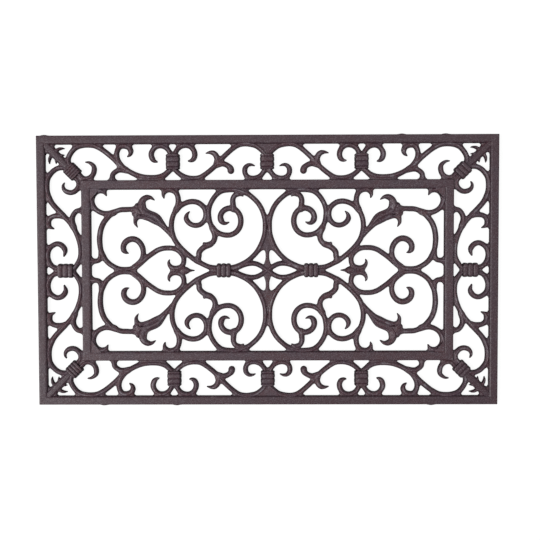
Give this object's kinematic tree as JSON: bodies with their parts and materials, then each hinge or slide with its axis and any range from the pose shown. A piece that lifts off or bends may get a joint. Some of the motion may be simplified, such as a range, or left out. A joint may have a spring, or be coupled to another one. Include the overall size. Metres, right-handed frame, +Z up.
{
  "type": "door mat",
  "caption": "Flat rectangular openwork cast iron door mat: double frame, ribbed collars, scrollwork border and panel, on small rubber pads.",
  "frame": {"origin": "middle of the surface that the mat lies on", "axes": "+X along the mat's length, +Y across it, +Z up through the tread side"},
  "size_m": [0.72, 0.4242, 0.0125],
  "materials": {
    "iron": "sand cast, with a satin dark brown coating worn on the edges",
    "rubber": "matt black rubber"
  },
  "bodies": {
    "root": {"outer_rail_back": "iron", "outer_rail_left": "iron", "outer_rail_front": "iron", "outer_rail_right": "iron", "inner_rail_back": "iron", "inner_rail_left": "iron", "inner_rail_front": "iron", "inner_rail_right": "iron", "corner_border_scroll_back_right": "iron", "centre_border_scroll_back_right": "iron", "side_border_scroll_back_right": "iron", "panel_scroll_back_right": "iron", "tulip_leaf_back_right": "iron", "end_scroll_back_right": "iron", "corner_collar_back_right": "iron", "border_collar_back_right": "iron", "corner_leaf_back_right": "iron", "corner_border_scroll_back_left": "iron", "centre_border_scroll_back_left": "iron", "side_border_scroll_back_left": "iron", "panel_scroll_back_left": "iron", "tulip_leaf_back_left": "iron", "end_scroll_back_left": "iron", "corner_collar_back_left": "iron", "border_collar_back_left": "iron", "corner_leaf_back_left": "iron", "corner_border_scroll_front_right": "iron", "centre_border_scroll_front_right": "iron", "side_border_scroll_front_right": "iron", "panel_scroll_front_right": "iron", "tulip_leaf_front_right": "iron", "end_scroll_front_right": "iron", "corner_collar_front_right": "iron", "border_collar_front_right": "iron", "corner_leaf_front_right": "iron", "corner_border_scroll_front_left": "iron", "centre_border_scroll_front_left": "iron", "side_border_scroll_front_left": "iron", "panel_scroll_front_left": "iron", "tulip_leaf_front_left": "iron", "end_scroll_front_left": "iron", "corner_collar_front_left": "iron", "border_collar_front_left": "iron", "corner_leaf_front_left": "iron", "side_collar_right": "iron", "panel_collar_right": "iron", "heart_scroll_right": "iron", "side_collar_left": "iron", "panel_collar_left": "iron", "heart_scroll_left": "iron", "centre_collar_back": "iron", "centre_web_back": "iron", "centre_collar_front": "iron", "centre_web_front": "iron", "centre_rosette": "iron", "foot_pad_back_right": "rubber", "foot_pad_back_left": "rubber", "foot_pad_front_right": "rubber", "foot_pad_front_left": "rubber"}
  },
  "joints": []
}
